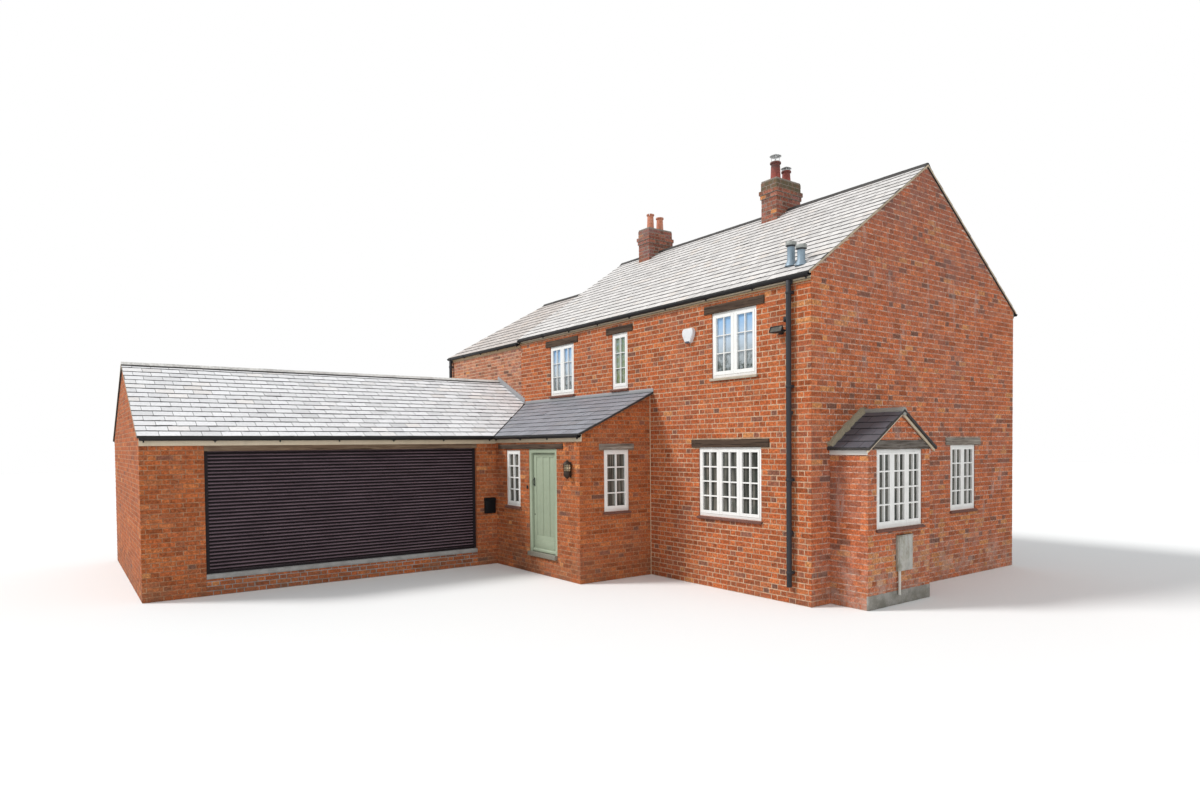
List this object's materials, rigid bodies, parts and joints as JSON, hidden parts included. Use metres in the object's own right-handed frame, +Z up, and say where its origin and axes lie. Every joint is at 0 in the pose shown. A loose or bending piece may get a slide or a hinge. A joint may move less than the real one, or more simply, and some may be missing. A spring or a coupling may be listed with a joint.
{
  "type": "detached house",
  "caption": "Two-storey detached brick cottage with gabled slate roof, hipped extension, garage wing, lean-to porch and box bay.",
  "frame": {"origin": "under the middle of the whole house, at the lowest ground that meets its walls", "axes": "+X along the main front towards the gable wall with the bay, +Y from the front of the house to its back, +Z up"},
  "size_m": [13.2272, 14.2024, 8.2627],
  "materials": {
    "old_brick": "weathered handmade brick in pale lime mortar",
    "pale_brick": "paler pink brick in pale mortar",
    "new_brick": "orange red brick in sand mortar",
    "slate": "weathered grey slate",
    "dark_slate": "newer dark slate",
    "ridge_clay": "weathered dark clay",
    "lead": "dull grey lead sheet",
    "pot_clay": "red terracotta",
    "cowl_metal": "dark sheet metal",
    "flue_metal": "dull blue grey sheet metal",
    "cream_board": "cream paint, weathered",
    "black_gutter": "black, satin",
    "dark_timber": "weathered dark stained timber",
    "sill_tile": "brown tile and brick",
    "white_paint": "white gloss paint",
    "glass": "clear window glass",
    "roller_door": "dark brown, satin",
    "concrete": "plain concrete",
    "floor_wood": "plain boards",
    "sage_paint": "sage green paint",
    "black_metal": "black, satin",
    "white_plastic": "white",
    "grey_plastic": "pale grey"
  },
  "bodies": {
    "house": {"main_front_wall": "old_brick", "main_gable_wall": "old_brick", "main_rear_wall": "old_brick", "main_left_gable": "old_brick", "extension_front_wall": "pale_brick", "extension_end_wall": "pale_brick", "extension_rear_wall": "pale_brick", "garage_pier_left": "new_brick", "garage_wall_right": "new_brick", "garage_end_wall": "new_brick", "garage_rear_wall": "new_brick", "garage_beam": "dark_timber", "garage_threshold": "concrete", "porch_wall_left": "new_brick", "porch_wall_right": "new_brick", "porch_wall_centre": "new_brick", "porch_side_wall": "new_brick", "bay_walls": "old_brick", "ground_floors": "concrete", "upper_floors": "floor_wood", "main_roof_front": "slate", "main_roof_rear": "slate", "extension_roof_front": "slate", "extension_roof_rear": "slate", "extension_roof_hip": "slate", "garage_roof_front": "slate", "garage_roof_rear": "slate", "porch_roof": "slate", "bay_roof": "dark_slate", "ridge_tiles": "ridge_clay", "lead_flashings": "lead", "chimney_stacks": "old_brick", "chimney_pots": "pot_clay", "pot_cowls": "cowl_metal", "roof_flues": "flue_metal", "fascias": "cream_board", "gutters": "black_gutter", "downpipes": "black_gutter", "lintels": "dark_timber", "window_sills": "sill_tile", "window_frames": "white_paint", "window_glass": "glass", "roller_door": "roller_door", "door_frame": "sage_paint", "door_hinges": "black_metal", "alarm_box": "white_plastic", "floodlight": "black_metal", "door_lantern": "black_metal", "post_box": "black_metal", "meter_box": "grey_plastic"},
    "door_leaf": {"front_door": "sage_paint", "door_handle": "black_metal"}
  },
  "joints": [
    {"name": "front_door_hinge", "type": "hinge", "parent": "house", "child": "door_leaf", "pos_m": [1.4231, -0.6789, 1.388], "axis": [0, 0, -1], "range_deg": [0, 90]}
  ]
}
